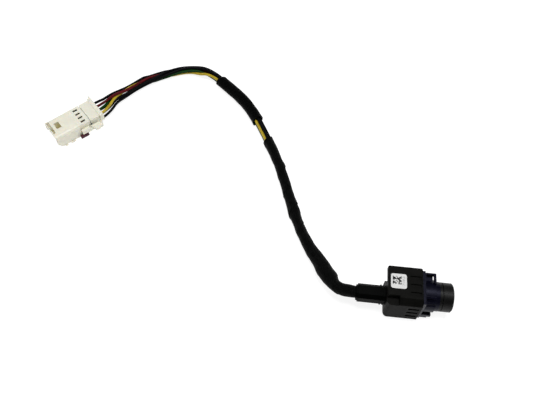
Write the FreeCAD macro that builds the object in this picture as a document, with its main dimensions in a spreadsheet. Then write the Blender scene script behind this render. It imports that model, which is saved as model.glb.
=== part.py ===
"""A vehicle reversing camera with its harness, as a parametric FreeCAD document.

The camera looks along +X. The origin is under the middle of the camera, on the surface it stands on, +Z up.
The harness leaves the back of the camera along -X, lies on that surface and ends in a white connector.
Lengths are in millimetres. Stations named *_at along the lens train are measured from face_x, the plane
where the front holder meets the rear housing.
"""
import FreeCAD
import Part
import Sketcher
import math
import os
import re

from FreeCAD import Placement, Rotation, Vector

DIMENSIONS = {
    # rear housing
    "face_x": 7.75, "housing_depth": 17.5, "housing_half": 10.0, "housing_top": 20.0, "wall": 1.6,
    "edge_cut": 3.0, "mid_z": 10.0, "cavity_half": 8.4, "cavity_cut": 2.4, "cavity_depth": 9.8,
    "well_near": -8.4, "well_far": 0.9, "well_low": 1.6, "well_high": 14.9, "well_depth": 15.5,
    "step_depth": 4.5, "step_near": 2.5, "step_far": 5.8, "step_low": 9.5, "step_mid": 13.0,
    "step_high": 17.0, "notch_depth": 5.9, "notch_y": -6.0, "notch_z": 16.5,
    "grip_pitch": 4.3, "grip_width": 1.7, "grip_length": 5.5, "grip_deep": 0.8, "grip_front": 1.0,
    "corner_round": 2.4, "edge_round": 0.7, "far_round": 0.9,
    # front holder
    "plate_half": 9.0, "plate_thick": 1.4, "lens_z": 9.4, "collar_radius": 8.2, "collar_end": 7.0,
    "ring_radius": 7.5, "ring_end": 9.1, "bore_radius": 6.3, "counterbore_radius": 7.0,
    "counterbore_depth": 0.8, "post_at": 4.9, "post_radius": 1.3, "post_length": 2.4,
    "pilot_radius": 0.75, "rib_length": 5.6, "lug_near": 3.2, "lug_far": 8.6, "lug_end": 6.9,
    # lens train
    "barrel_start": 0.6, "barrel_radius": 6.25, "head_radius": 7.4, "head_end": 10.4,
    "neck_radius": 6.45, "neck_end": 14.0, "cap_start": 10.8, "cap_end": 16.0, "cap_mouth": 5.5,
    "cap_seat": 14.95, "seal_radius": 5.75, "seal_wire": 0.35,
    # boards
    "board_half": 7.0, "board_thick": 1.0, "sensor_board_at": -3.4, "main_board_at": -7.0,
    # cable boot
    "boot_y": -2.4, "boot_z": 10.2, "boot_half": 4.1, "boot_cut": 1.8, "boot_end": 32.3,
    "boot_bore": 2.95, "spigot_radius": 3.9, "spigot_bore": 3.95, "ridge_height": 0.3,
    "grommet_start": 14.0, "grommet_end": 24.0,
    # harness
    "wire_diameter": 1.65, "lane_pitch": 1.9, "tape_radius": 3.35, "tape_bore": 2.95,
    "sleeve_radius": 3.75, "sleeve_bore": 3.2, "bend_share": 0.45,
    # connector, in its own frame: x towards the wires, y across, z up
    "plug_x": -194.8, "plug_y": 98.2, "plug_angle": 44.3, "plug_height": 9.6, "hood_front": -23.2,
    "hood_back": -7.4, "hood_half": 8.0, "mouth_half": 6.8, "mouth_low": 1.3, "mouth_high": 8.3,
    "mouth_back": -10.0, "hood_round": 1.5, "hood_round_near": 2.2, "front_cut": 2.6,
    "front_cut_top": 4.0, "front_lip": 0.6, "neck_half": 7.5, "neck_low": 0.3, "neck_high": 9.3, "split_x": -0.3,
    "column_pitch": 3.4, "row_low": 2.8, "row_high": 6.8, "cavity_side": 2.4, "wire_hole": 1.25,
    "slot_width": 1.3, "slot_front": -5.1, "slot_back": -2.2, "holder_front": 0.3,
    "holder_back": 9.0, "flange_front": 7.0, "flange_half": 8.4, "flange_near": 8.0,
    "flange_low": 4.5, "wire_inset": 2.0,
    "hinge_x": -1.5, "hinge_y": -8.6, "hinge_radius": 0.6, "hinge_gap": 0.05,
    "arm_low": 2.2, "arm_high": 5.0, "thumb_low": 4.6, "thumb_top": 5.9,
}

# Centre line of the harness from inside the boot to the connector, chosen by hand.
HARNESS_ROUTE = [
    (-16.25, -2.4, 10.2), (-28.2, -2.4, 10.2), (-34.6, -0.2, 9.0), (-39.6, 7.4, 6.9),
    (-44.6, 16.2, 4.9), (-50.4, 24.8, 3.7), (-55.4, 34.2, 3.4), (-60.2, 45.4, 3.4),
    (-64.0, 57.0, 3.4), (-68.6, 69.2, 3.4), (-74.0, 82.2, 3.4), (-83.6, 100.6, 3.7),
    (-91.6, 114.2, 4.0), (-99.6, 124.6, 3.9), (-110.0, 133.6, 4.0), (-121.4, 143.6, 3.8),
    (-130.4, 147.4, 3.3), (-142.0, 146.4, 3.0), (-152.4, 141.8, 3.0), (-161.8, 136.2, 3.0),
    (-169.8, 129.0, 3.1), (-176.6, 121.4, 3.4), (-181.8, 116.4, 4.0),
]
# The stretch under the tape and under the sleeve: route points passed, and the reach past an end point.
TAPE_POINTS = (1, 10)
TAPE_END = 8.0
SLEEVE_POINTS = (12, 14)
SLEEVE_START, SLEEVE_END = 7.0, 7.2

# How deep a rib of the front holder is sunk, its height included.
RIB_DEPTH = 1.2

# Each wire: the lane it keeps in the bundle, and its column and row in the connector.
WIRES = {
    "wire_black_1": (30, 1.5, "row_high"),
    "wire_red": (90, 0.5, "row_high"),
    "wire_green": (None, -0.5, "row_high"),
    "wire_yellow": (150, -1.5, "row_high"),
    "wire_black_2": (210, -1.5, "row_low"),
    "wire_black_3": (270, -0.5, "row_low"),
    "wire_grey": (330, 0.5, "row_low"),
}

doc = FreeCAD.newDocument("reversing_camera")
sheet = doc.addObject("Spreadsheet::Sheet", "dims")
for row, (alias, number) in enumerate(DIMENSIONS.items(), start=1):
    sheet.set(f"A{row}", alias)
    sheet.set(f"B{row}", str(number))
    sheet.setAlias(f"B{row}", alias)
doc.recompute()

parts = []


def size(alias):
    """A driving dimension, read back from the sheet."""
    return float(sheet.get(alias))


def linked(expression):
    """The expression with every sheet alias written as dims.alias."""
    return re.sub(r"[A-Za-z_]\w*", lambda word: "dims." * (word[0] in DIMENSIONS) + word[0], expression)


def bind(thing, **expressions):
    """Bind properties to the sheet: names use __ where the property path has a dot."""
    for name, expression in expressions.items():
        thing.setExpression(name.replace("__", "."), linked(expression))


def keep(thing, node):
    """Make a finished object a sub-part of the model under its node name."""
    thing.Label = node
    parts.append(thing)
    return thing


# ---- sketched bodies ------------------------------------------------------------------------

def new_body(node):
    return keep(doc.addObject("PartDesign::Body", node), node)


def new_sketch(body, role, offset="0"):
    """A sketch on one of the body's own origin planes, moved along its normal by the offset."""
    sketch = body.newObject("Sketcher::SketchObject", body.Name + "_sketch")
    plane = next(f for f in body.Origin.OriginFeatures if f.Role == role)
    sketch.AttachmentSupport = (plane, [""])
    sketch.MapMode = "FlatFace"
    bind(sketch, AttachmentOffset__Base__z=offset)
    return sketch


def fix_point(sketch, edge, end, across, up):
    """Hold one point of a sketch at (across, up) from the sketch's origin."""
    for kind, expression in (("DistanceX", across), ("DistanceY", up)):
        number = float(sketch.evalExpression(linked(expression)))
        index = sketch.addConstraint(Sketcher.Constraint(kind, -1, 1, edge, end, number))
        sketch.setExpression(f"Constraints[{index}]", linked(expression))


def outline(sketch, corners):
    """A closed outline through corners given as pairs of expressions."""
    here = [Vector(*(float(sketch.evalExpression(linked(e))) for e in corner), 0) for corner in corners]
    first = sketch.GeometryCount
    for index, corner in enumerate(here):
        sketch.addGeometry(Part.LineSegment(corner, here[(index + 1) % len(here)]), False)
    for index, (across, up) in enumerate(corners):
        before = first + (index - 1) % len(corners)
        sketch.addConstraint(Sketcher.Constraint("Coincident", before, 2, first + index, 1))
        fix_point(sketch, first + index, 1, across, up)
    return sketch


def rectangle(sketch, left, right, low, high):
    return outline(sketch, [(left, low), (right, low), (right, high), (left, high)])


def ring(sketch, across, up, radius):
    """A circle about (across, up)."""
    number = float(sketch.evalExpression(linked(radius)))
    centre = Vector(*(float(sketch.evalExpression(linked(e))) for e in (across, up)), 0)
    index = sketch.addGeometry(Part.Circle(centre, Vector(0, 0, 1), number), False)
    fix_point(sketch, index, 3, across, up)
    held = sketch.addConstraint(Sketcher.Constraint("Radius", index, number))
    sketch.setExpression(f"Constraints[{held}]", linked(radius))
    return sketch


def pad(body, sketch, length, backwards=False):
    feature = body.newObject("PartDesign::Pad", body.Name + "_pad")
    feature.Profile = sketch
    feature.Reversed = backwards
    bind(feature, Length=length)
    doc.recompute()
    return feature


def pocket(body, sketch, depth, forwards=False):
    """Cut a sketch out of the body, against the sketch's normal, or along it."""
    before = body.Shape.Volume
    feature = body.newObject("PartDesign::Pocket", body.Name + "_pocket")
    feature.Profile = sketch
    feature.Reversed = forwards
    bind(feature, Length=depth)
    doc.recompute()
    if body.Shape.Volume > before - 1e-3:
        raise RuntimeError(f"{feature.Name} cuts nothing")
    return feature


def turned(node, profile, axis_height="lens_z"):
    """A body turned about an axis along X: profile holds (station from the face, radius) pairs."""
    body = new_body(node)
    sketch = outline(new_sketch(body, "XZ_Plane"), [(f"face_x + {at}", radius) for at, radius in profile])
    feature = body.newObject("PartDesign::Revolution", node + "_turn")
    feature.Profile = sketch
    feature.ReferenceAxis = (sketch, ["H_Axis"])
    feature.Angle = 360
    bind(body, Placement__Base__z=axis_height)
    doc.recompute()
    return body


def rounded(body, radius, wanted):
    """Fillet the edges of a body that the test picks."""
    tip = body.Tip
    names = [f"Edge{i}" for i, edge in enumerate(tip.Shape.Edges, start=1) if wanted(edge)]
    feature = body.newObject("PartDesign::Fillet", body.Name + "_round")
    feature.Base = (tip, names)
    bind(feature, Radius=radius)
    doc.recompute()
    return feature


def runs_along(edge, direction, shortest):
    """Whether an edge is a straight line along the direction and at least that long."""
    if not isinstance(edge.Curve, Part.Line) or edge.Length < shortest:
        return False
    return abs(abs(edge.tangentAt(edge.FirstParameter).dot(direction)) - 1) < 1e-6


# ---- primitives -----------------------------------------------------------------------------

def block(name, start, end):
    """A box between two corners given as triples of expressions."""
    box = doc.addObject("Part::Box", name)
    spans = [f"({high}) - ({low})" for low, high in zip(start, end)]
    bind(box, Length=spans[0], Width=spans[1], Height=spans[2])
    bind(box, Placement__Base__x=start[0], Placement__Base__y=start[1], Placement__Base__z=start[2])
    return box


def rod(name, start, length, radius, along="x"):
    """A cylinder from a start point given as expressions, along an axis."""
    cylinder = doc.addObject("Part::Cylinder", name)
    turn = {"x": Rotation(Vector(0, 1, 0), 90), "y": Rotation(Vector(1, 0, 0), -90), "z": Rotation()}
    cylinder.Placement = Placement(Vector(), turn[along])
    bind(cylinder, Height=length, Radius=radius)
    bind(cylinder, Placement__Base__x=start[0], Placement__Base__y=start[1], Placement__Base__z=start[2])
    return cylinder


def ball(name, start, radius):
    sphere = doc.addObject("Part::Sphere", name)
    bind(sphere, Radius=radius)
    bind(sphere, Placement__Base__x=start[0], Placement__Base__y=start[1], Placement__Base__z=start[2])
    return sphere


def joined(name, things):
    result = doc.addObject("Part::MultiFuse", name)
    result.Shapes = things
    return result


def group(name, things):
    """Separate solids in one node."""
    result = doc.addObject("Part::Compound", name)
    result.Links = things
    return result


def cut(name, base, tool):
    result = doc.addObject("Part::Cut", name)
    result.Base = base
    result.Tool = tool
    return result


def common(name, things):
    result = doc.addObject("Part::MultiCommon", name)
    result.Shapes = things
    return result


# ---- camera ---------------------------------------------------------------------------------

def rear_housing():
    body = new_body("rear_housing")
    rear = "face_x - housing_depth"
    shell = outline(new_sketch(body, "YZ_Plane", rear), [
        ("-housing_half", "0"), ("housing_half", "0"), ("housing_half", "housing_top"),
        ("-housing_half + edge_cut", "housing_top"), ("-housing_half", "housing_top - edge_cut")])
    pad(body, shell, "housing_depth")
    step = outline(new_sketch(body, "YZ_Plane", rear), [
        ("step_far", "-1"), ("housing_half + 1", "-1"), ("housing_half + 1", "step_high"),
        ("step_near", "step_high"), ("step_near", "step_mid"), ("step_far", "step_low")])
    pocket(body, step, "step_depth", forwards=True)
    notch = rectangle(new_sketch(body, "YZ_Plane", rear),
                      "-housing_half - 1", "notch_y", "notch_z", "housing_top + 1")
    pocket(body, notch, "notch_depth", forwards=True)
    rounded(body, "corner_round", near_rear_corner)
    rounded(body, "far_round", far_upright_edge)
    rounded(body, "edge_round", long_outer_edge)
    cavity = outline(new_sketch(body, "YZ_Plane", "face_x"), [
        ("-cavity_half", "mid_z - cavity_half"), ("cavity_half", "mid_z - cavity_half"),
        ("cavity_half", "mid_z + cavity_half"), ("-cavity_half + cavity_cut", "mid_z + cavity_half"),
        ("-cavity_half", "mid_z + cavity_half - cavity_cut")])
    pocket(body, cavity, "cavity_depth")
    well = rectangle(new_sketch(body, "YZ_Plane", "face_x"), "well_near", "well_far", "well_low", "well_high")
    pocket(body, well, "well_depth")
    bore = ring(new_sketch(body, "YZ_Plane", rear), "boot_y", "boot_z", "spigot_bore")
    pocket(body, bore, "wall + 1", forwards=True)
    grips = new_sketch(body, "XY_Plane", "housing_top")
    for count in (-1, 0, 1):
        middle = f"{count} * grip_pitch"
        rectangle(grips, "face_x - grip_front - grip_length", "face_x - grip_front",
                  f"{middle} - grip_width / 2", f"{middle} + grip_width / 2")
    pocket(body, grips, "grip_deep")
    side = new_sketch(body, "XZ_Plane", "housing_half")
    for count in (-1, 0, 1):
        middle = f"mid_z - 1 + {count} * grip_pitch"
        rectangle(side, "face_x - grip_front - grip_length", "face_x - grip_front",
                  f"{middle} - grip_width / 2", f"{middle} + grip_width / 2")
    pocket(body, side, "grip_deep")


def near_rear_corner(edge):
    """The upright corner of the rear housing beside the boot, and the bottom edge behind it."""
    box = edge.BoundBox
    rear = size("face_x") - size("housing_depth")
    upright = runs_along(edge, Vector(0, 0, 1), 10) and box.YMax < -size("housing_half") + 0.1
    low = runs_along(edge, Vector(0, 1, 0), 10) and box.ZMax < 0.1
    return box.XMax < rear + 0.1 and (upright or low)


def far_upright_edge(edge):
    """The upright outer edges of the rear housing on its far side."""
    return runs_along(edge, Vector(0, 0, 1), 2.5) and edge.BoundBox.YMin > size("housing_half") - 0.1


def long_outer_edge(edge):
    """The long edges of the rear housing that run along the lens axis."""
    return runs_along(edge, Vector(1, 0, 0), 9.0)


def front_holder():
    plate = block("plate", ("face_x", "-plate_half", "mid_z - plate_half"),
                  ("face_x + plate_thick", "plate_half", "mid_z + plate_half"))
    collar = rod("collar", ("face_x + plate_thick", "0", "lens_z"), "collar_end - plate_thick", "collar_radius")
    nose = rod("nose", ("face_x + plate_thick", "0", "lens_z"), "ring_end - plate_thick", "ring_radius")
    solids = [plate, collar, nose, *lugs(), *ribs()]
    tools = [
        rod("bore", ("face_x - post_length - 1", "0", "lens_z"), "ring_end + post_length + 2", "bore_radius"),
        rod("seal_seat", ("face_x + ring_end - counterbore_depth", "0", "lens_z"), "2", "counterbore_radius"),
    ]
    body = cut("holder_bored", joined("holder_blank", solids), joined("holder_tools", tools))
    posts, pilots = [], []
    for y in ("-post_at", "post_at"):
        for z in ("mid_z - post_at", "mid_z + post_at"):
            start = ("face_x - post_length", y, z)
            posts.append(rod("post", start, "post_length + 0.3", "post_radius"))
            pilots.append(rod("pilot", start, "post_length - 0.2", "pilot_radius"))
    with_posts = joined("holder_with_posts", [body, *posts])
    keep(cut("front_holder", with_posts, joined("holder_pilots", pilots)), "front_holder")


def lugs():
    """The two hooked bayonet lugs on the collar, upper far side and lower near side."""
    base = "face_x + plate_thick"
    upper = block("upper_lug", (base, "lug_near", "mid_z + 4.4"),
                  ("face_x + lug_end", "lug_far", "mid_z + 8.2"))
    hollow = block("upper_lug_hollow", ("face_x + 1.9", "lug_near - 0.2", "mid_z + 5.6"),
                   ("face_x + 5.9", "lug_far - 0.9", "mid_z + 9"))
    corner = rod("upper_lug_hook", ("face_x + lug_end + 0.2", "lug_near - 0.2", "mid_z + 5.4"), "6", "1.5", "y")
    lower = block("lower_lug", (base, "-8.6", "1.1"), ("face_x + 5.0", "-3.4", "3.4"))
    step = block("lower_lug_step", (base, "-8.6", "2.4"), ("face_x + 6.6", "-3.4", "4.6"))
    opened = cut("upper_lug_open", upper, joined("upper_lug_tools", [hollow, corner]))
    return [opened, lower, step]


def ribs():
    """Axial ribs on the collar, by their angle from the top towards the near side."""
    made = []
    for degrees, height, width in ((30, 0.75, 1.1), (50, 0.4, 0.8), (64, 0.4, 0.8)):
        rib = doc.addObject("Part::Box", "rib")
        bind(rib, Length="rib_length", Width=str(width), Height=str(RIB_DEPTH))
        turn = Rotation(Vector(1, 0, 0), degrees)
        corner = Vector(0, -width / 2, size("collar_radius") + height - RIB_DEPTH)
        start = Vector(size("face_x") + size("plate_thick"), 0, size("lens_z"))
        rib.Placement = Placement(start + turn.multVec(corner), turn)
        made.append(rib)
    return made


def holder_gasket():
    body = new_body("holder_gasket")
    sketch = new_sketch(body, "YZ_Plane", "face_x - 0.95")
    for half, corner in (("8.3", "2.6"), ("7.3", "2.3")):
        near, far = f"-{half}", half
        low, high = f"mid_z - {half}", f"mid_z + {half}"
        outline(sketch, [
            (f"{near} + {corner}", low), (f"{far} - {corner}", low), (far, f"{low} + {corner}"),
            (far, f"{high} - {corner}"), (f"{far} - {corner}", high), (f"{near} + {corner}", high),
            (near, f"{high} - {corner}"), (near, f"{low} + {corner}")])
    pad(body, sketch, "0.9")


def lens_train():
    turned("lens_barrel", [
        ("barrel_start", "2.6"), ("barrel_start", "barrel_radius"), ("ring_end", "barrel_radius"),
        ("ring_end", "head_radius"), ("head_end", "head_radius"), ("head_end", "neck_radius"),
        ("neck_end", "neck_radius"), ("neck_end", "seal_radius + 0.4"),
        ("neck_end - 0.65", "seal_radius + 0.4"), ("neck_end - 0.65", "seal_radius - 0.4"),
        ("neck_end", "seal_radius - 0.4"), ("neck_end", "4.9"), ("11.6", "4.9"), ("11.6", "4.2"),
        ("7.6", "4.2"), ("7.6", "3.4"), ("3.0", "3.4"), ("3.0", "2.6")])
    turned("lens_cap", [
        ("cap_start", "neck_radius + 0.05"), ("cap_start", "head_radius"), ("cap_end - 0.5", "head_radius"),
        ("cap_end", "head_radius - 0.5"), ("cap_end", "cap_mouth + 0.4"), ("cap_seat", "cap_mouth"),
        ("cap_seat", "neck_radius + 0.05")])
    washer("lens_spacer_1", "11.65", "12.15", "4.85", "4.0")
    washer("lens_spacer_2", "7.65", "9.35", "4.15", "3.3")
    washer("aperture_stop", "6.9", "7.1", "3.35", "1.2")
    washer("rear_retainer", "3.1", "4.3", "3.35", "2.6")
    lens("front_lens", "14.05", "14.85", "6.4", "5.4", "1.1", "0.4")
    lens("lens_element_2", "12.2", "13.0", "4.85", "4.6", "0.6", "0")
    lens("lens_element_3", "9.4", "10.4", "4.15", "3.9", "0.7", "0")
    lens("lens_element_4", "4.4", "6.1", "3.35", "3.1", "0.6", "0")
    keep(rod("ir_filter", ("face_x + 1.0", "0", "lens_z"), "0.4", "2.55"), "ir_filter")
    o_ring("front_o_ring", "neck_end - 0.3", "seal_radius", "seal_wire - 0.05")
    o_ring("barrel_o_ring", "ring_end - 0.4", "bore_radius + 0.35", "0.34")


def washer(node, start, end, outer, inner):
    """A flat ring on the lens axis between two stations from the face."""
    return turned(node, [(start, inner), (start, outer), (end, outer), (end, inner)])


def lens(node, back, rim, radius, crown_radius, crown, hollow):
    """A glass element: a disc from back to rim, a domed front, and a hollow back if hollow isn't 0."""
    start = (f"face_x + {back}", "0", "lens_z")
    disc = rod(node + "_disc", start, f"{rim} - {back}", radius)
    dome_radius = f"({crown_radius} ^ 2 + {crown} ^ 2) / (2 * {crown})"
    centre = (f"face_x + {rim} + {crown} - {dome_radius}", "0", "lens_z")
    slab = rod(node + "_slab", (f"face_x + {rim} - 0.01", "0", "lens_z"), f"{crown} + 1", crown_radius)
    dome = common(node + "_dome", [ball(node + "_ball", centre, dome_radius), slab])
    glass = joined(node + "_glass", [disc, dome])
    if hollow != "0":
        back_centre = (f"face_x + {back} + {hollow} - {dome_radius}", "0", "lens_z")
        glass = cut(node + "_ground", glass, ball(node + "_tool", back_centre, dome_radius))
    return keep(glass, node)


def o_ring(node, at, radius, wire, y="0", z="lens_z"):
    torus = doc.addObject("Part::Torus", node)
    torus.Placement = Placement(Vector(), Rotation(Vector(0, 1, 0), 90))
    bind(torus, Radius1=radius, Radius2=wire)
    bind(torus, Placement__Base__x=f"face_x + {at}", Placement__Base__y=y, Placement__Base__z=z)
    return keep(torus, node)


def circuit_board(node, at, holes=True):
    """A square board, with a hole at each corner for the screws of the front holder."""
    body = new_body(node)
    sketch = new_sketch(body, "YZ_Plane", f"face_x + {at}")
    rectangle(sketch, "-board_half", "board_half", "mid_z - board_half", "mid_z + board_half")
    if holes:
        for y in ("-post_at", "post_at"):
            for z in ("mid_z - post_at", "mid_z + post_at"):
                ring(sketch, y, z, "pilot_radius + 0.1")
    pad(body, sketch, "board_thick")


def electronics():
    circuit_board("sensor_board", "sensor_board_at")
    circuit_board("main_board", "main_board_at", holes=False)
    front = "sensor_board_at + board_thick"
    keep(block("image_sensor", (f"face_x + {front}", "-3.0", "lens_z - 3.0"),
               (f"face_x + {front} + 0.9", "3.0", "lens_z + 3.0")), "image_sensor")
    keep(block("sensor_window", (f"face_x + {front} + 0.9", "-2.5", "lens_z - 2.5"),
               (f"face_x + {front} + 1.2", "2.5", "lens_z + 2.5")), "sensor_window")
    keep(block("board_header", ("face_x + main_board_at + board_thick", "-4.0", "mid_z - 1.5"),
               ("face_x + sensor_board_at", "4.0", "mid_z + 1.5")), "board_header")
    keep(group("board_spacers", [
        rod("spacer", ("face_x + main_board_at + board_thick", y, "mid_z"),
            "sensor_board_at - main_board_at - board_thick", "0.9") for y in ("-5.9", "5.9")]), "board_spacers")
    screws = []
    for y in ("-post_at", "post_at"):
        for z in ("mid_z - post_at", "mid_z + post_at"):
            head = rod("screw_head", ("face_x + sensor_board_at - 0.8", y, z), "0.8", "1.25")
            shank = rod("screw_shank", ("face_x + sensor_board_at", y, z), "3.0", "pilot_radius - 0.05")
            screws.append(joined("board_screw", [head, shank]))
    keep(group("board_screws", screws), "board_screws")
    chips = []
    for y, z, wide, tall in ((-2.4, 5.2, 1.6, 0.8), (0.2, 5.0, 1.2, 1.2), (2.6, 5.3, 1.0, 0.5),
                             (-2.2, 14.9, 1.0, 0.5), (0.4, 14.8, 2.2, 1.4), (3.0, 14.9, 1.0, 0.5)):
        chips.append(block("chip", ("face_x + sensor_board_at - 0.5", f"{y} - {wide / 2}", f"{z} - {tall / 2}"),
                           ("face_x + sensor_board_at", f"{y} + {wide / 2}", f"{z} + {tall / 2}")))
    keep(group("board_components", chips), "board_components")
    back = "face_x + main_board_at"
    keep(block("video_processor", (f"{back} - 0.9", "2.0", "7.0"), (back, "6.0", "13.0")), "video_processor")
    can = block("can_blank", (f"{back} - 1.8", "1.4", "4.2"), (back, "6.8", "15.8"))
    hollow = block("can_hollow", (f"{back} - 1.55", "1.65", "4.45"), (f"{back} + 0.1", "6.55", "15.55"))
    keep(cut("shield_can", can, hollow), "shield_can")
    keep(block("wire_header", (f"{back} - 4.5", "-5.6", "6.6"), (back, "0.6", "13.8")), "wire_header")


# ---- cable boot -----------------------------------------------------------------------------

def boot_outline(sketch, half):
    """A square with cut corners about the boot's axis."""
    near, far = f"boot_y - {half}", f"boot_y + {half}"
    low, high = f"boot_z - {half}", f"boot_z + {half}"
    return outline(sketch, [
        (f"{near} + boot_cut", low), (f"{far} - boot_cut", low), (far, f"{low} + boot_cut"),
        (far, f"{high} - boot_cut"), (f"{far} - boot_cut", high), (f"{near} + boot_cut", high),
        (near, f"{high} - boot_cut"), (near, f"{low} + boot_cut")])


def cable_boot():
    body = new_body("cable_boot")
    tail = "face_x - boot_end"
    sleeve = boot_outline(new_sketch(body, "YZ_Plane", f"{tail} + 0.8"), "(boot_half)")
    pad(body, sleeve, "boot_end - housing_depth - 0.8")
    lip = boot_outline(new_sketch(body, "YZ_Plane", tail), "(boot_half - 0.5)")
    pad(body, lip, "0.8")
    for at in ("13.4", "12.0"):
        ridge = boot_outline(new_sketch(body, "YZ_Plane", f"{tail} + {at}"), "(boot_half + ridge_height)")
        pad(body, ridge, "0.7")
    spigot = ring(new_sketch(body, "YZ_Plane", "face_x - housing_depth"), "boot_y", "boot_z", "spigot_radius")
    pad(body, spigot, "2.0")
    groove = new_sketch(body, "YZ_Plane", "face_x - housing_depth + 0.5")
    ring(groove, "boot_y", "boot_z", "spigot_radius + 0.5")
    ring(groove, "boot_y", "boot_z", "spigot_radius - 0.7")
    pocket(body, groove, "0.8", forwards=True)
    bore = ring(new_sketch(body, "YZ_Plane", f"{tail} - 1"), "boot_y", "boot_z", "boot_bore")
    pocket(body, bore, "boot_end", forwards=True)
    o_ring("boot_seal", "-housing_depth + 0.9", "spigot_radius - 0.32", "0.34", "boot_y", "boot_z")
    keep(rod("boot_grommet", ("face_x - grommet_end", "boot_y", "boot_z"),
             "grommet_end - grommet_start", "boot_bore - 0.02"), "boot_grommet")


def inner_leads():
    """The short leads between the potted grommet and the header on the main board."""
    leads = []
    for lane, _, _ in WIRES.values():
        side, up = lane_offset(lane)
        start = ("face_x - grommet_start", f"boot_y + {side}", f"boot_z + {up}")
        leads.append(rod("lead", start, "grommet_start + main_board_at - 4.5", "0.45"))
    keep(group("inner_leads", leads), "inner_leads")


def code_label():
    body = new_body("code_label")
    sketch = rectangle(new_sketch(body, "XY_Plane", "housing_top"), "-8.45", "-0.55", "-2.35", "5.55")
    pad(body, sketch, "0.12")
    rounded(body, "1.2", lambda edge: runs_along(edge, Vector(0, 0, 1), 0.1))


# ---- harness --------------------------------------------------------------------------------

def lane_offset(lane):
    """Where a lane lies from the bundle's centre: to the side, and up."""
    if lane is None:
        return 0.0, 0.0
    pitch = size("lane_pitch")
    return pitch * math.cos(math.radians(lane)), pitch * math.sin(math.radians(lane))


def lane_route(lane):
    """The harness route moved into one lane, square to the bundle at every point."""
    side, up = lane_offset(lane)
    centre = [Vector(*point) for point in HARNESS_ROUTE]
    moved = []
    for index, point in enumerate(centre):
        ahead = (centre[min(index + 1, len(centre) - 1)] - centre[min(index, len(centre) - 2)]).normalize()
        behind = (centre[max(index, 1)] - centre[max(index - 1, 0)]).normalize()
        heading = (ahead + behind).normalize()
        across = Vector(heading.y, -heading.x, 0).normalize()
        above = across.cross(heading)
        stretch = 1 / math.cos(ahead.getAngle(behind) / 2)
        level = abs(Vector(ahead.x, ahead.y, 0).getAngle(Vector(behind.x, behind.y, 0))) > 1e-9
        moved.append(point + across * side * (stretch if level else 1) + above * up)
    return moved


def in_connector(x, y, z):
    """A point of the connector's frame in the model's frame."""
    turn = Rotation(Vector(0, 0, 1), size("plug_angle"))
    return Vector(size("plug_x"), size("plug_y"), 0) + turn.multVec(Vector(x, y, z))


def tangents(route):
    """How far each bend reaches along its two runs."""
    share = size("bend_share")
    reach = [0.0]
    for before, here, after in zip(route, route[1:], route[2:]):
        reach.append(share * min((here - before).Length, (after - here).Length))
    return [*reach, 0.0]


def path_wire(route, reach, name):
    """Straight runs joined by tangent arcs, and the smallest bend radius."""
    edges, start, radii = [], route[0], []
    for before, here, after, back in zip(route, route[1:], route[2:], reach[1:]):
        heading, leaving = (here - before).normalize(), (after - here).normalize()
        half_turn = heading.getAngle(leaving) / 2
        radius = back / math.tan(half_turn)
        enter, leave = here - heading * back, here + leaving * back
        middle = here + (leaving - heading).normalize() * radius * (1 / math.cos(half_turn) - 1)
        edges.append(Part.LineSegment(start, enter).toShape())
        edges.append(Part.Arc(enter, middle, leave).toShape())
        radii.append(radius)
        start = leave
    edges.append(Part.LineSegment(start, route[-1]).toShape())
    print(name, "radii", [round(radius, 1) for radius in radii])
    return Part.Wire(edges)


def tube(node, route, reach, outer, inner=0.0):
    """A cord's solid: a round section, hollow if inner isn't 0, swept along the route."""
    path = path_wire(route, reach, node)
    heading = (route[1] - route[0]).normalize()
    section = Part.Face(Part.Wire(Part.Circle(route[0], heading, outer).toShape()))
    if inner:
        hole = Part.Face(Part.Wire(Part.Circle(route[0], heading, inner).toShape()))
        section = section.cut(hole).Faces[0]
    shape = path.makePipe(section)
    if not isinstance(shape, Part.Solid):
        shape = shape.Solids[0]
    expected = section.Area * path.Length
    print(node, "length", round(path.Length, 1), "volume ratio", round(shape.Volume / expected, 4))
    feature = doc.addObject("Part::Feature", node)
    feature.Shape = shape
    feature.Placement = Placement()
    return keep(feature, node)


def harness():
    for node, (lane, column, row) in WIRES.items():
        y, z = column * size("column_pitch"), size(row)
        inside = in_connector(size("wire_inset"), y, z)
        outside = in_connector(size("holder_back") + 4.0, y, z)
        route = [*lane_route(lane), outside, inside]
        tube(node, route, tangents(route), size("wire_diameter") / 2)
    centre = [Vector(*point) for point in HARNESS_ROUTE]
    reach = tangents(centre)
    first, last = TAPE_POINTS
    boot_face = Vector(size("face_x") - size("boot_end"), centre[0].y, centre[0].z)
    end = towards(centre[last + 1], centre[last], TAPE_END)
    tube("tape_wrap", [boot_face, *centre[first:last + 1], end],
         [0, *reach[first:last + 1], 0], size("tape_radius"), size("tape_bore"))
    first, last = SLEEVE_POINTS
    start = towards(centre[first], centre[first - 1], SLEEVE_START)
    end = towards(centre[last], centre[last + 1], SLEEVE_END)
    tube("fabric_sleeve", [start, *centre[first:last + 1], end],
         [0, *reach[first:last + 1], 0], size("sleeve_radius"), size("sleeve_bore"))


def towards(start, goal, distance):
    """The point at a distance from start on the way to goal."""
    return start + (goal - start).normalize() * distance


# ---- connector ------------------------------------------------------------------------------

def placed_in_connector(thing, node):
    """Put an object that was made in the connector's frame where the connector lies."""
    thing.Placement = Placement(Vector(), Rotation(Vector(0, 0, 1), size("plug_angle")))
    bind(thing, Placement__Base__x="plug_x", Placement__Base__y="plug_y")
    bind(thing, Placement__Rotation__Angle="plug_angle")
    return keep(thing, node)


def each_way(make):
    """What make(y, z) gives for each of the eight ways of the connector."""
    return [make(f"{column} * column_pitch", row)
            for column in (-1.5, -0.5, 0.5, 1.5) for row in ("row_low", "row_high")]


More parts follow.
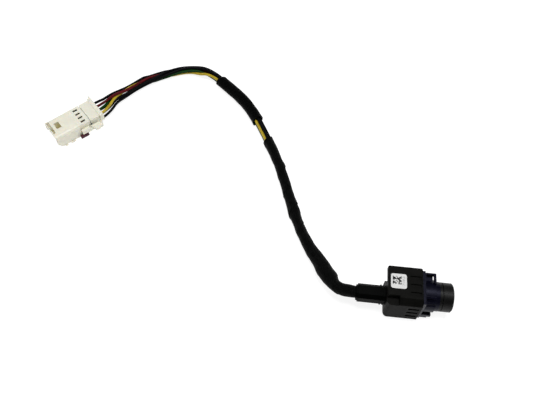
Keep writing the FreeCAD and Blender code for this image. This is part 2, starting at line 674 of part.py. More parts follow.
def connector_housing():
    body = doc.addObject("PartDesign::Body", "connector_housing")
    hood = rectangle(new_sketch(body, "YZ_Plane", "hood_front"), "-hood_half", "hood_half", "0", "plug_height")
    pad(body, hood, "hood_back - hood_front")
    rounded(body, "hood_round_near", near_top_edge)
    rounded(body, "hood_round", lambda edge: runs_along(edge, Vector(1, 0, 0), 9.0) and not beside_round(edge))
    neck = rectangle(new_sketch(body, "YZ_Plane", "hood_back - 1"),
                     "-neck_half", "neck_half", "neck_low", "neck_high")
    pad(body, neck, "split_x - hood_back + 1")
    mouth = rectangle(new_sketch(body, "YZ_Plane", "hood_front - 1"),
                      "-mouth_half", "mouth_half", "mouth_low", "mouth_high")
    pocket(body, mouth, "mouth_back - hood_front + 1", forwards=True)
    keyway = rectangle(new_sketch(body, "XY_Plane", "plug_height + 1"),
                       "hood_front + front_lip", "hood_front + 2.3", "-3.8", "6.6")
    pocket(body, keyway, "plug_height - mouth_high + 1.5")
    window = rectangle(new_sketch(body, "XY_Plane", "plug_height + 1"), "-19.0", "-15.9", "-1.4", "3.6")
    pocket(body, window, "plug_height - mouth_high + 1.5")
    undercut = outline(new_sketch(body, "XZ_Plane", "hood_half + 1"), [
        ("hood_front - 1", "-1"), ("hood_front + front_cut + 0.65", "-1"), ("hood_front", "front_cut_top"),
        ("hood_front - 1", "front_cut_top")])
    pocket(body, undercut, "2 * hood_half + 2")
    ways = new_sketch(body, "YZ_Plane", "mouth_back - 1")
    half = "cavity_side / 2"
    each_way(lambda y, z: rectangle(ways, f"{y} - {half}", f"{y} + {half}", f"{z} - {half}", f"{z} + {half}"))
    pocket(body, ways, "split_x - mouth_back + 2", forwards=True)
    recess = rectangle(new_sketch(body, "YZ_Plane", "split_x - 1.6"), "-6.9", "6.9", "0.95", "8.65")
    pocket(body, recess, "2.0", forwards=True)
    slots = new_sketch(body, "XY_Plane", "plug_height + 1")
    for column in (-1.5, -0.5, 0.5, 1.5):
        middle = f"{column} * column_pitch"
        rectangle(slots, "slot_front", "slot_back", f"{middle} - slot_width / 2", f"{middle} + slot_width / 2")
    pocket(body, slots, "plug_height - row_high")
    guard = rectangle(new_sketch(body, "XY_Plane", "3.0"), "-7.3", "hinge_x", "-9.6", "-neck_half + 0.5")
    pad(body, guard, "2.9")
    socket = ring(new_sketch(body, "XY_Plane", "2.0"), "hinge_x", "hinge_y", "hinge_radius + hinge_gap")
    pocket(body, socket, "5.0", forwards=True)
    ways_up = rectangle(new_sketch(body, "XY_Plane", "2.0"), "hinge_x - 0.45", "hinge_x + 1", "-9.7", "-9.05")
    pocket(body, ways_up, "5.0", forwards=True)
    for start, length in (("-19.6", "1.8"), ("-15.6", "3.0")):
        foot = rectangle(new_sketch(body, "YZ_Plane", start), "-hood_half - 0.5", "-hood_half + 1", "0", "1.6")
        pad(body, foot, length)
    placed_in_connector(body, "connector_housing")


def near_top_edge(edge):
    """The upper long edge of the hood on the latch's side."""
    box = edge.BoundBox
    return (runs_along(edge, Vector(1, 0, 0), 9.0) and box.YMax < -size("hood_half") + 0.1
            and box.ZMin > size("plug_height") - 0.1)


def beside_round(edge):
    """The two long edges that the larger round has left in place of the upper one."""
    box = edge.BoundBox
    round_off = size("hood_round_near") + 0.1
    return box.YMax < -size("hood_half") + round_off and box.ZMin > size("plug_height") - round_off


def rear_holder():
    """The rear terminal holder, which slides out of the housing towards the wires."""
    solids = [
        block("holder_block", ("holder_front", "-neck_half", "neck_low"),
              ("flange_front", "neck_half", "neck_high")),
        block("holder_tongue", ("split_x - 1.3", "-6.6", "1.2"), ("holder_front + 0.5", "6.6", "8.4")),
        block("holder_flange", ("flange_front - 0.5", "-flange_near", "flange_low"),
              ("holder_back", "flange_half", "plug_height")),
        block("holder_ear", ("holder_back - 0.8", "flange_half - 0.5", "6.8"),
              ("holder_back", "flange_half + 2.2", "9.2")),
    ]
    holes = each_way(lambda y, z: rod("wire_way", ("-3", y, z), "holder_back + 5", "wire_hole"))
    placed_in_connector(cut("rear_holder", joined("holder_blank_rear", solids), joined("wire_ways", holes)),
                        "rear_holder")


def terminals():
    """One crimp terminal on each wire, in its way of the housing."""
    made = []
    for _, column, row in WIRES.values():
        y = f"{column} * column_pitch"
        barrel = block("crimp", ("-4.0", f"{y} - 0.75", f"{row} - 0.75"),
                       ("wire_inset", f"{y} + 0.75", f"{row} + 0.75"))
        tongue = block("blade", ("-9.5", f"{y} - 0.6", f"{row} - 0.4"), ("-4.0", f"{y} + 0.6", f"{row} + 0.4"))
        made.append(joined("terminal", [barrel, tongue]))
    placed_in_connector(group("terminals", made), "terminals")


def latch_arm():
    """The side latch: a web on an upright hinge with a thumb pad that swings towards the housing."""
    body = doc.addObject("PartDesign::Body", "latch_arm")
    hinge = ring(new_sketch(body, "XY_Plane", "arm_low"), "hinge_x", "hinge_y", "hinge_radius")
    pad(body, hinge, "arm_high - arm_low")
    web = rectangle(new_sketch(body, "XY_Plane", "arm_low"),
                    "hinge_x", "5.0", "hinge_y - 0.35", "hinge_y + 0.45")
    pad(body, web, "arm_high - arm_low")
    thumb = outline(new_sketch(body, "XY_Plane", "thumb_low"), [
        ("-0.9", "hinge_y + 0.3"), ("4.2", "hinge_y + 0.3"), ("5.7", "-12.6"), ("0.7", "-12.9")])
    pad(body, thumb, "thumb_top - thumb_low")
    placed_in_connector(body, "latch_arm")


def side_lock():
    """The coloured lock slider under the hinge block."""
    bar = block("lock_bar", ("-9.2", "-9.6", "0.3"), ("-3.9", "-8.35", "2.65"))
    grip = block("lock_grip", ("-6.2", "-9.9", "0.6"), ("-4.6", "-9.5", "2.3"))
    placed_in_connector(joined("side_lock", [bar, grip]), "side_lock")


def check_and_export():
    doc.recompute()
    for thing in doc.Objects:
        if {"Invalid", "Error"} & set(thing.State):
            raise RuntimeError(f"{thing.Name} failed: {thing.State}")
    os.makedirs("parts", exist_ok=True)
    for thing in parts:
        if thing.Shape.isNull() or not thing.Shape.isValid() or thing.Shape.Volume <= 0:
            raise RuntimeError(f"{thing.Label} has no valid shape")
        thing.Shape.exportStep(f"parts/{thing.Label}.step")
        print(thing.Label, "solids", len(thing.Shape.Solids), "volume", round(thing.Shape.Volume, 1))


rear_housing()
front_holder()
holder_gasket()
lens_train()
electronics()
cable_boot()
inner_leads()
code_label()
harness()
connector_housing()
rear_holder()
terminals()
latch_arm()
side_lock()
check_and_export()
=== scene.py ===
"""The looks of a vehicle reversing camera with its harness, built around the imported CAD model.

Metres, +Z up, in the CAD frame: the camera looks along +X and its harness lies on the surface under it,
from the boot at the back of the camera to the white connector. Sizes given in millimetres are multiplied
by MM. The order is: view and light, materials, the harness's line, meshes, wires, tape and sleeve, floor
and CAD finishes. The last lines call them in turn.
"""

import bisect
import math

import bpy
from mathutils import Matrix, Vector, noise


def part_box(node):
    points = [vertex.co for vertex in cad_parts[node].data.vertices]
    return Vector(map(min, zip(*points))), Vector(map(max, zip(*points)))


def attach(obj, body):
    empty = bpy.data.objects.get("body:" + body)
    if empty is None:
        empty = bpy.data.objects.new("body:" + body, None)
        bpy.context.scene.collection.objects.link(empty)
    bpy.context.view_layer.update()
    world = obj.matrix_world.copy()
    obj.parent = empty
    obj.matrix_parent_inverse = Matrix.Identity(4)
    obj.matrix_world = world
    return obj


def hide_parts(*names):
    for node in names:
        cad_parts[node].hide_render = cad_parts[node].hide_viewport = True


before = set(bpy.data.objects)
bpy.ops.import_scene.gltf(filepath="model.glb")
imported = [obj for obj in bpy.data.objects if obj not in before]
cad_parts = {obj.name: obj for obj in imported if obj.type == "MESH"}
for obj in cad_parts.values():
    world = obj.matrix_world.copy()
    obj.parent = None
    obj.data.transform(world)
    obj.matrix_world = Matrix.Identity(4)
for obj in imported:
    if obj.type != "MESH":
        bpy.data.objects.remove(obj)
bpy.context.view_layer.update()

MM = 0.001


def rgb(red, green, blue):
    """An opaque colour, in linear values."""
    return (red, green, blue, 1.0)


WHITE = rgb(1.0, 1.0, 1.0)
BLACK = rgb(0.0, 0.0, 0.0)

# ---- view and light -------------------------------------------------------------------------

# The point looked at, the camera's place, and its lens and sensor.
VIEW_TARGET = Vector((-0.076593, 0.053619, 0.0))
VIEW_FROM = Vector((-0.056985, -0.12399, 0.2916))
LENS_MM = 39.85
SENSOR_MM = 36.0

# Softboxes that face the middle of the object: name, place, side and watts.
LAMPS = [
    ("overhead", (-0.05, 0.10, 1.00), 0.40, 7.6),
    ("right_box", (0.70, 0.20, 0.40), 0.35, 1.5),
    ("left_box", (-0.75, 0.30, 0.45), 0.35, 1.0),
]
WORLD_STRENGTH = 0.08


def aim(thing, place, target):
    """Put a camera or lamp at a place, facing the target."""
    thing.location = place
    thing.rotation_euler = (target - place).to_track_quat("-Z", "Y").to_euler()


def place_in_scene(name, data):
    """A new object that holds the data, linked to the scene."""
    made = bpy.data.objects.new(name, data)
    bpy.context.scene.collection.objects.link(made)
    return made


def add_camera():
    """The viewpoint of the product picture: from in front of the camera housing, looking down."""
    data = bpy.data.cameras.new("view")
    data.lens = LENS_MM
    data.sensor_width = SENSOR_MM
    camera = place_in_scene("view", data)
    aim(camera, VIEW_FROM, VIEW_TARGET)
    bpy.context.scene.camera = camera


def add_lamp(name, place, size, power):
    """One square softbox."""
    data = bpy.data.lights.new(name, "AREA")
    data.shape = "SQUARE"
    data.size = size
    data.energy = power
    aim(place_in_scene(name, data), Vector(place), VIEW_TARGET)


def add_light():
    """The softboxes and a faint white world."""
    for lamp in LAMPS:
        add_lamp(*lamp)
    world = bpy.data.worlds.new("studio")
    world.use_nodes = True
    background = world.node_tree.nodes["Background"]
    background.inputs["Color"].default_value = WHITE
    background.inputs["Strength"].default_value = WORLD_STRENGTH
    bpy.context.scene.world = world
    bpy.context.scene.view_settings.view_transform = "Standard"


# ---- materials ------------------------------------------------------------------------------

class Finish:
    """A Principled material whose nodes are added one call at a time."""

    def __init__(self, name, **constants):
        self.material = bpy.data.materials.new(name)
        self.material.use_nodes = True
        self.tree = self.material.node_tree
        self.shader = self.tree.nodes["Principled BSDF"]
        for socket, value in constants.items():
            self.shader.inputs[socket.replace("_", " ")].default_value = value

    def add(self, kind, inputs=None, **settings):
        """A new node. An input is a plain value, or the socket of another node."""
        node = self.tree.nodes.new("ShaderNode" + kind)
        for key, value in settings.items():
            setattr(node, key, value)
        for key, value in (inputs or {}).items():
            self.put(node.inputs[key], value)
        return node

    def put(self, socket, value):
        """Link a socket to another node's, or set its plain value."""
        if isinstance(value, bpy.types.NodeSocket):
            self.tree.links.new(value, socket)
        else:
            socket.default_value = value

    def drive(self, socket, value):
        """Feed one input of the shader itself."""
        self.put(self.shader.inputs[socket], value)

    def place(self, kind="Object"):
        """Where on the piece a point is: in metres, or along and around it."""
        return self.add("TexCoord").outputs[kind]

    def math(self, operation, first, second=0.0, third=0.0):
        """The result of one sum; each operand is a value or a socket."""
        return self.add("Math", {0: first, 1: second, 2: third}, operation=operation).outputs[0]

    def cloud(self, scale, detail=3.0, where=None, roughness=0.5):
        """A soft random pattern from 0 to 1; scale is in repeats a metre."""
        inputs = {"Vector": where or self.place(), "Scale": scale, "Detail": detail, "Roughness": roughness}
        return self.add("TexNoise", inputs).outputs["Fac"]

    def spread(self, factor, low, high, start=0.3, end=0.7):
        """The factor's range from start to end, stretched to run from low to high."""
        inputs = {"Value": factor, "From Min": start, "From Max": end, "To Min": low, "To Max": high}
        return self.add("MapRange", inputs).outputs["Result"]

    def blend(self, factor, first, second):
        """A colour between two colours."""
        node = self.add("Mix", data_type="RGBA")
        self.put(node.inputs[0], factor)
        self.put(node.inputs[6], first)
        self.put(node.inputs[7], second)
        return node.outputs[2]

    def bump(self, height, depth, strength=1.0, under=None):
        """Surface relief: height from 0 to 1 stands for the depth in metres."""
        inputs = {"Height": height, "Distance": depth, "Strength": strength}
        if under is not None:
            inputs["Normal"] = under
        return self.add("Bump", inputs).outputs["Normal"]

    def soft_edge(self, radius):
        """The surface's direction with every sharp edge rounded by a radius in millimetres."""
        return self.add("Bevel", {"Radius": radius * MM}, samples=6).outputs["Normal"]

    def shade(self, scale, dark, light):
        """Let the base colour drift between two shades, in clouds of so many a metre."""
        self.drive("Base Color", self.blend(self.spread(self.cloud(scale), 0.0, 1.0), dark, light))

    def roughen(self, scale, low, high):
        """Let the roughness drift between two values, in clouds of so many a metre."""
        self.drive("Roughness", self.spread(self.cloud(scale), low, high))


def moulded(name, dark, light, rough, grain=2600.0, depth=0.025, **constants):
    """Moulded plastic or rubber: cloudy colour, fine spark-eroded grain, soft edges and uneven gloss."""
    finish = Finish(name, **constants)
    finish.shade(190.0, dark, light)
    finish.roughen(700.0, rough - 0.06, rough + 0.07)
    ripple = finish.bump(finish.cloud(160.0, 1.0), 0.03 * MM, 0.15, finish.soft_edge(0.25))
    finish.drive("Normal", finish.bump(finish.cloud(grain, 4.0), depth * MM, 0.8, ripple))
    return finish


# Dark brown painted shade for the bottoms of the connector's slots.
PAINTED_SLOT_SHADE = rgb(0.03, 0.024, 0.015)


def nylon(name, dark, light, rough, shade, painted_glow):
    """Off-white nylon, with painted shade from ambient occlusion: recesses are painted a tan shade, with
    painted light (an emission) for light through the wall, and slots a dark brown painted shade.
    """
    finish = moulded(name, dark, light, rough, 2200.0, 0.02, Subsurface_Weight=0.25, Emission_Strength=1.0,
                     Subsurface_Scale=1.5 * MM, Subsurface_Radius=(1.0, 0.75, 0.5))
    far = finish.add("AmbientOcclusion", {"Distance": 9.0 * MM}, samples=12, only_local=True).outputs["AO"]
    near = finish.add("AmbientOcclusion", {"Distance": 2.6 * MM}, samples=12).outputs["AO"]
    open_share = finish.spread(far, 0.0, 1.0, 0.25, 0.6)
    lit_share = finish.spread(near, 0.0, 1.0, 0.3, 0.55)
    surface = finish.shader.inputs["Base Color"].links[0].from_socket
    # Painted shade: tan where little light comes in, dark brown deeper in, blended in by ambient occlusion.
    recess_painted_shade = finish.blend(lit_share, PAINTED_SLOT_SHADE, shade)
    finish.drive("Base Color", finish.blend(open_share, recess_painted_shade, surface))
    # Emission in the recesses: painted light that stands in for light coming through the wall.
    recess_painted_glow = finish.blend(lit_share, BLACK, painted_glow)
    finish.drive("Emission Color", finish.blend(open_share, recess_painted_glow, BLACK))
    return finish


def turned_plastic(name, dark, light, rough, **constants):
    """Plastic turned on a lathe: fine rings across the lens axis, which is X."""
    finish = Finish(name, **constants)
    along = finish.add("SeparateXYZ", {0: finish.place()}).outputs["X"]
    rings = finish.add("TexNoise", {"W": finish.math("MULTIPLY", along, 5200.0), "Scale": 1.0, "Detail": 2.0},
                       noise_dimensions="1D").outputs["Fac"]
    finish.shade(300.0, dark, light)
    finish.drive("Roughness", finish.spread(rings, rough - 0.05, rough + 0.08))
    fine = finish.bump(finish.cloud(4000.0), 0.01 * MM, 0.5, finish.soft_edge(0.2))
    finish.drive("Normal", finish.bump(rings, 0.025 * MM, 0.8, fine))
    return finish


def wire_insulation(name, dark, light, gloss, rough=0.42):
    """Extruded insulation: faint drawing lines along the wire and a slow change of shade."""
    finish = Finish(name, Specular_IOR_Level=gloss)
    along = finish.add("Mapping", {"Vector": finish.place("UV"), "Scale": (26.0, 6.0, 1.0)}).outputs[0]
    lines = finish.cloud(1.0, 2.0, along)
    finish.shade(420.0, dark, light)
    finish.drive("Roughness", finish.spread(lines, rough - 0.07, rough + 0.1))
    waves = finish.bump(finish.cloud(240.0, 1.0), 0.12 * MM, 0.35)
    finish.drive("Normal", finish.bump(lines, 0.02 * MM, 0.6, waves))
    return finish


def woven(name, dark, light, across, along, depth, rough, **constants):
    """Cloth: threads across and along the piece, pressed over and under each other."""
    finish = Finish(name, **constants)
    parts = finish.add("SeparateXYZ", {0: finish.place("UV")}).outputs
    warp = finish.math("SINE", finish.math("MULTIPLY", parts["X"], math.tau * across))
    weft = finish.math("SINE", finish.math("MULTIPLY", parts["Y"], math.tau * along))
    weave = finish.math("MULTIPLY_ADD", finish.math("MULTIPLY", warp, weft), 0.5, 0.5)
    fuzz = finish.cloud(5200.0, 4.0)
    height = finish.math("MULTIPLY_ADD", fuzz, 0.6, weave)
    shade = finish.math("MULTIPLY_ADD", finish.cloud(330.0), 0.7, finish.math("MULTIPLY", weave, 0.3))
    finish.drive("Base Color", finish.blend(finish.spread(shade, 0.0, 1.0), dark, light))
    finish.drive("Roughness", finish.spread(fuzz, rough - 0.08, rough + 0.08))
    finish.drive("Normal", finish.bump(height, depth * MM, 0.9))
    return finish


def lens_glass():
    """Clear glass with a faint blue coating."""
    finish = Finish("lens_glass", Transmission_Weight=1.0, IOR=1.52, Roughness=0.02, Coat_Weight=0.6,
                    Coat_Roughness=0.03, Coat_Tint=rgb(0.55, 0.7, 1.0))
    tints = rgb(0.86, 0.93, 0.95), rgb(0.93, 0.95, 0.98)
    finish.drive("Base Color", finish.blend(finish.cloud(200.0), *tints))
    return finish


def board_laminate():
    """Green solder mask over copper traces."""
    finish = Finish("circuit_board", Coat_Weight=0.3)
    traces = finish.add("TexVoronoi", {"Vector": finish.place(), "Scale": 900.0}, feature="DISTANCE_TO_EDGE")
    edge = finish.math("LESS_THAN", traces.outputs["Distance"], 0.08)
    finish.drive("Base Color", finish.blend(edge, rgb(0.01, 0.09, 0.03), rgb(0.02, 0.16, 0.06)))
    finish.roughen(900.0, 0.35, 0.5)
    finish.drive("Normal", finish.bump(edge, 0.03 * MM))
    return finish


def metal(name, dark, light, rough):
    """Plated or bare metal with a fine tumbled grain."""
    finish = Finish(name, Metallic=1.0)
    finish.shade(800.0, dark, light)
    finish.roughen(2500.0, rough - 0.08, rough + 0.1)
    finish.drive("Normal", finish.bump(finish.cloud(6000.0), 0.01 * MM, 0.6))
    return finish


# The label's width in cells, and the first and last cells of each printed patch, along X and along Y.
LABEL_CELLS = 18.0
CODE_BLOCK = ((2, 11), (5, 14))
GREY_STRIP = ((13, 15), (4, 14))


def code_label():
    """White film with a generic block of square cells and a pale grey strip beside it."""
    low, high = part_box("code_label")
    cell = (high.x - low.x) / LABEL_CELLS
    finish = Finish("label_film", Specular_IOR_Level=0.12)
    offset = finish.add("VectorMath", {0: finish.place(), 1: low}, operation="SUBTRACT").outputs[0]
    grid = finish.add("VectorMath", {0: offset, 3: 1.0 / cell}, operation="SCALE").outputs[0]
    corner = finish.add("VectorMath", {0: grid}, operation="FLOOR").outputs[0]
    flat = finish.add("VectorMath", {0: corner, 1: (1.0, 1.0, 0.0)}, operation="MULTIPLY").outputs[0]
    chance = finish.add("TexWhiteNoise", {"Vector": flat}).outputs["Value"]
    parts = finish.add("SeparateXYZ", {0: corner}).outputs

    def between(value, start, end):
        """1 from the start cell to the end cell, 0 outside them."""
        above = finish.math("GREATER_THAN", value, start - 0.5)
        return finish.math("MULTIPLY", above, finish.math("LESS_THAN", value, end + 0.5))

    def printed_cells(patch, blank_share):
        """1 in the patch's printed cells, picked by chance, 0 elsewhere."""
        inside = finish.math("MULTIPLY", between(parts["X"], *patch[0]), between(parts["Y"], *patch[1]))
        return finish.math("MULTIPLY", inside, finish.math("GREATER_THAN", chance, blank_share))

    dark = printed_cells(CODE_BLOCK, 0.42)
    grey = printed_cells(GREY_STRIP, 0.4)
    paper = finish.blend(finish.cloud(900.0), rgb(0.7, 0.7, 0.69), rgb(0.78, 0.78, 0.77))
    printed = finish.blend(finish.math("MULTIPLY", grey, 0.4), paper, rgb(0.25, 0.25, 0.25))
    finish.drive("Base Color", finish.blend(dark, printed, rgb(0.012, 0.012, 0.012)))
    finish.roughen(1500.0, 0.42, 0.55)
    finish.drive("Normal", finish.bump(finish.cloud(1200.0), 0.02 * MM, 0.5))
    return finish


def make_finishes():
    """Each material slot's finish."""
    black, charcoal = rgb(0.0016, 0.0018, 0.0017), rgb(0.0042, 0.0042, 0.0039)
    made = {
        "housing_plastic": moulded("housing_plastic", rgb(0.0034, 0.0034, 0.0029), rgb(0.006, 0.0059, 0.0052),
                                   0.5, Specular_IOR_Level=0.035),
        "holder_plastic": moulded("holder_plastic", rgb(0.0014, 0.0014, 0.0045), rgb(0.0026, 0.0026, 0.009),
                                  0.36, Specular_IOR_Level=0.16, Specular_Tint=rgb(0.7, 0.72, 1.0)),
        "barrel_plastic": turned_plastic("barrel_plastic", black, charcoal, 0.42, Specular_IOR_Level=0.2),
        "lens_glass": lens_glass(),
        "seal_rubber": moulded("seal_rubber", black, charcoal, 0.55, 3500.0, Specular_IOR_Level=0.1),
        "boot_rubber": moulded("boot_rubber", rgb(0.0008, 0.001, 0.0009), rgb(0.0018, 0.002, 0.0018), 0.42,
                               1800.0, Specular_IOR_Level=0.02),
        "circuit_board": board_laminate(),
        "chip_plastic": moulded("chip_plastic", rgb(0.012, 0.012, 0.013), rgb(0.03, 0.03, 0.03), 0.5, 5000.0),
        "header_plastic": moulded("header_plastic", rgb(0.62, 0.58, 0.48), rgb(0.7, 0.66, 0.56), 0.4),
        "plated_metal": metal("plated_metal", rgb(0.55, 0.54, 0.5), rgb(0.7, 0.69, 0.66), 0.3),
        # Copper kept dark: painted shade for the terminals seen deep in the connector's slots.
        "copper": metal("copper", rgb(0.2, 0.14, 0.1), rgb(0.3, 0.21, 0.15), 0.4),
        "label_film": code_label(),
        "wire_black": wire_insulation("wire_black", rgb(0.0014, 0.0016, 0.0022),
                                      rgb(0.0026, 0.0028, 0.0035), 0.05),
        "wire_red": wire_insulation("wire_red", rgb(0.06, 0.0018, 0.0035), rgb(0.12, 0.004, 0.007), 0.1),
        "wire_green": wire_insulation("wire_green", rgb(0.0014, 0.02, 0.002), rgb(0.0035, 0.043, 0.004), 0.1),
        "wire_yellow": wire_insulation("wire_yellow", rgb(0.36, 0.25, 0.008), rgb(0.56, 0.42, 0.02), 0.4),
        "wire_grey": wire_insulation("wire_grey", rgb(0.004, 0.004, 0.0045), rgb(0.005, 0.005, 0.005), 0.05),
        "cloth_tape": woven("cloth_tape", rgb(0.0005, 0.0006, 0.0005), rgb(0.0026, 0.003, 0.0027), 26.0,
                            1500.0, 0.15, 0.45, Specular_IOR_Level=0.035),
        "woven_sleeve": woven("woven_sleeve", rgb(0.0003, 0.0004, 0.0005), rgb(0.0018, 0.002, 0.0021), 24.0,
                              1150.0, 0.22, 0.5, Specular_IOR_Level=0.03),
        # The last two colours are the connector's painted shade in recesses and its painted light through the
        # wall.
        "connector_plastic": nylon("connector_plastic", rgb(0.83, 0.81, 0.69), rgb(0.87, 0.85, 0.73), 0.42,
                                   rgb(0.42, 0.37, 0.2), rgb(0.2, 0.175, 0.085)),
        "lock_plastic": moulded("lock_plastic", rgb(0.04, 0.0015, 0.009), rgb(0.075, 0.003, 0.018), 0.4,
                                Specular_IOR_Level=0.2),
    }
    return {slot: finish.material for slot, finish in made.items()}


# ---- the harness's line ---------------------------------------------------------------------

# Control points of the harness's centre line, in millimetres, from inside the boot to the connector.
HARNESS_ROUTE = [
    (-16.25, -2.4, 10.2), (-28.2, -2.4, 10.2), (-34.6, -0.2, 9.0), (-39.6, 7.4, 6.9),
    (-44.6, 16.2, 4.9), (-50.4, 24.8, 3.7), (-55.4, 34.2, 3.4), (-60.2, 45.4, 3.4),
    (-64.0, 57.0, 3.4), (-68.6, 69.2, 3.4), (-74.0, 82.2, 3.4), (-83.6, 100.6, 3.7),
    (-91.6, 114.2, 4.0), (-99.6, 124.6, 3.9), (-110.0, 133.6, 4.0), (-121.4, 143.6, 3.8),
    (-130.4, 147.4, 3.3), (-142.0, 146.4, 3.0), (-152.4, 141.8, 3.0), (-161.8, 136.2, 3.0),
    (-169.8, 129.0, 3.1), (-176.6, 121.4, 3.4), (-181.8, 116.4, 4.0),
]
PLUG_PLACE = Vector((-194.8, 98.2, 0.0)) * MM
PLUG_TURN = Matrix.Rotation(math.radians(44.3), 3, "Z")
PLUG_WAYS_HEIGHT = 4.8
COLUMN_PITCH = 3.4
ROW_HEIGHTS = {"low": 2.8, "high": 6.8}
# Along the connector: where the line comes straight at it, the rear holder's back, and where wires end.
LEAD_IN = 13.0
HOLDER_BACK = 9.0
WIRE_INSET = 2.0


def in_connector(x, y, z):
    """A point of the connector's own frame, given in millimetres, in the model's frame."""
    return PLUG_PLACE + PLUG_TURN @ (Vector((x, y, z)) * MM)


def spline_points(route):
    """Points along the smooth line that a route's points steer."""
    curve = bpy.data.curves.new("steering", "CURVE")
    curve.dimensions = "3D"
    curve.resolution_u = 24
    spline = curve.splines.new("NURBS")
    spline.points.add(len(route) - 1)
    for point, place in zip(spline.points, route):
        point.co = (*place, 1.0)
    spline.order_u = 3
    spline.use_endpoint_u = True
    holder = place_in_scene("steering", curve)
    mesh = bpy.data.meshes.new_from_object(holder)
    points = [vertex.co.copy() for vertex in mesh.vertices]
    bpy.data.meshes.remove(mesh)
    bpy.data.objects.remove(holder)
    bpy.data.curves.remove(curve)
    return points


class Line:
    """A smooth line, with the distance along it and the directions across it and above it."""

    def __init__(self, points):
        self.points = points
        self.distances = [0.0]
        for start, end in zip(points, points[1:]):
            self.distances.append(self.distances[-1] + (end - start).length)
        self.length = self.distances[-1]
        around = zip([points[0], *points[:-1]], [*points[1:], points[-1]])
        self.headings = [(after - before).normalized() for before, after in around]

    def at(self, distance):
        """The point at a distance, with the directions along, across (to the outer side) and above."""
        index = min(max(bisect.bisect(self.distances, distance) - 1, 0), len(self.points) - 2)
        step = self.distances[index + 1] - self.distances[index]
        share = (distance - self.distances[index]) / step
        point = self.points[index].lerp(self.points[index + 1], share)
        heading = self.headings[index].lerp(self.headings[index + 1], share).normalized()
        across = Vector((heading.y, -heading.x, 0.0)).normalized()
        return point, heading, across, across.cross(heading)


def eased(keys, place):
    """The value at a place between keys of (place, value), with no sudden change."""
    if place <= keys[0][0]:
        return keys[0][1]
    for (start, first), (end, second) in zip(keys, keys[1:]):
        if place <= end:
            share = (place - start) / (end - start)
            return first + (second - first) * share * share * (3.0 - 2.0 * share)
    return keys[-1][1]


# ---- meshes ---------------------------------------------------------------------------------

def make_piece(name, points, faces, slot, body="kit", uv=None):
    """A smooth mesh piece that rides on a body. uv gives each corner's place on the surface."""
    mesh = bpy.data.meshes.new(name)
    mesh.from_pydata(points, [], faces)
    mesh.polygons.foreach_set("use_smooth", [True] * len(mesh.polygons))
    if uv:
        layer = mesh.uv_layers.new(name="surface")
        for corner, place in zip(layer.data, uv):
            corner.uv = place
    mesh.materials.append(finishes[slot])
    mesh.update()
    piece = place_in_scene(name, mesh)
    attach(piece, body)
    return piece


def skin(rings, places, loop=False):
    """Points, faces and surface places of a skin over rings of points. A loop joins the last ring
    to the first; otherwise each end gets a flat cap. places holds each ring's distance along."""
    count = len(rings[0])
    points = [point for ring in rings for point in ring]
    faces, uv = [], []
    pairs = [(index, index + 1) for index in range(len(rings) - 1)]
    if loop:
        pairs.append((len(rings) - 1, 0))
    for lower, upper in pairs:
        for turn in range(count):
            following = (turn + 1) % count
            faces.append((lower * count + turn, lower * count + following,
                          upper * count + following, upper * count + turn))
            left, right = turn / count, (turn + 1) / count
            bottom, top = places[lower], places[upper]
            uv += [(left, bottom), (right, bottom), (right, top), (left, top)]
    if not loop:
        last = (len(rings) - 1) * count
        faces.append(tuple(range(count - 1, -1, -1)))
        faces.append(tuple(range(last, last + count)))
        uv += [(0.5, places[0])] * count + [(0.5, places[-1])] * count
    return points, faces, uv


def circle_points(centre, across, above, radius, count):
    """A ring of points round a centre."""
    ring = []
    for turn in range(count):
        angle = math.tau * turn / count
        ring.append(centre + across * (radius * math.cos(angle)) + above * (radius * math.sin(angle)))
    return ring


# ---- wires ----------------------------------------------------------------------------------

WIRE_RADIUS = 0.825 * MM
WIRE_STEP = 0.7 * MM
WIRE_SIDES = 14
# Least distances of a wire's centre from the next wire's centre and from the surface.
WIRE_GAP = 2.05 * WIRE_RADIUS
FLOOR_GAP = 1.03 * WIRE_RADIUS
# How often a cross-section's wires are pushed apart, how often that is done to the whole bundle, and how
# often the lanes are smoothed after each time.
PUSHES, ROUNDS, SMOOTHINGS = 12, 10, 4
# Six wires in a ring round the seventh: how far their centres are from the line, in millimetres.
RING = 1.72

# Each wire: its slot, its column and row in the connector, and its lane in the bundle as
# (millimetres along, degrees from the outer side over the top, millimetres from the centre line).
WIRES = {
    "wire_black_1": ("wire_black", 1.5, "high", [
        (0, -30, RING), (182, -30, RING), (209, -25, RING), (221, 20, RING), (247, 30, 2.0), (259, 24, 2.9)]),
    "wire_red": ("wire_red", 0.5, "high", [
        (0, 90, 0.0), (205, 90, 0.0), (222, 80, 0.2), (233, 90, 1.7), (247, 104, 1.9), (262, 92, 2.4),
        (269, 72, 2.7)]),
    "wire_green": ("wire_green", -0.5, "high", [
        (0, 210, RING), (120, 210, RING), (150, 200, RING), (186, 207, RING), (197, 188, 1.5),
        (206, 152, RING), (221, 205, RING), (232, 262, RING), (247, 325, RING), (256, 380, 1.3),
        (262, 400, 1.3), (266, 450, 0.9), (270, 480, 1.8)]),
    "wire_yellow": ("wire_yellow", -1.5, "high", [
        (0, 150, RING), (120, 150, RING), (150, 140, RING), (186, 152, 1.8), (197, 182, 2.2),
        (206, 212, RING), (221, 268, RING), (232, 330, RING), (243, 415, 1.5), (250, 430, 1.6),
        (258, 450, 0.9), (263, 500, 1.9), (269, 515, 3.6)]),
    "wire_black_2": ("wire_black", -1.5, "low", [
        (0, 90, RING), (209, 92, RING), (221, 150, RING), (232, 200, RING), (247, 210, 2.0),
        (262, 205, 2.9)]),
    "wire_black_3": ("wire_black", -0.5, "low", [
        (0, 30, RING), (209, 32, RING), (221, 92, RING), (232, 140, RING), (247, 156, 1.8),
        (258, 185, 1.7), (266, 215, 2.2)]),
    "wire_grey": ("wire_grey", 0.5, "low", [
        (0, 270, RING), (209, 270, RING), (247, 275, RING), (262, 290, 1.9)]),
}


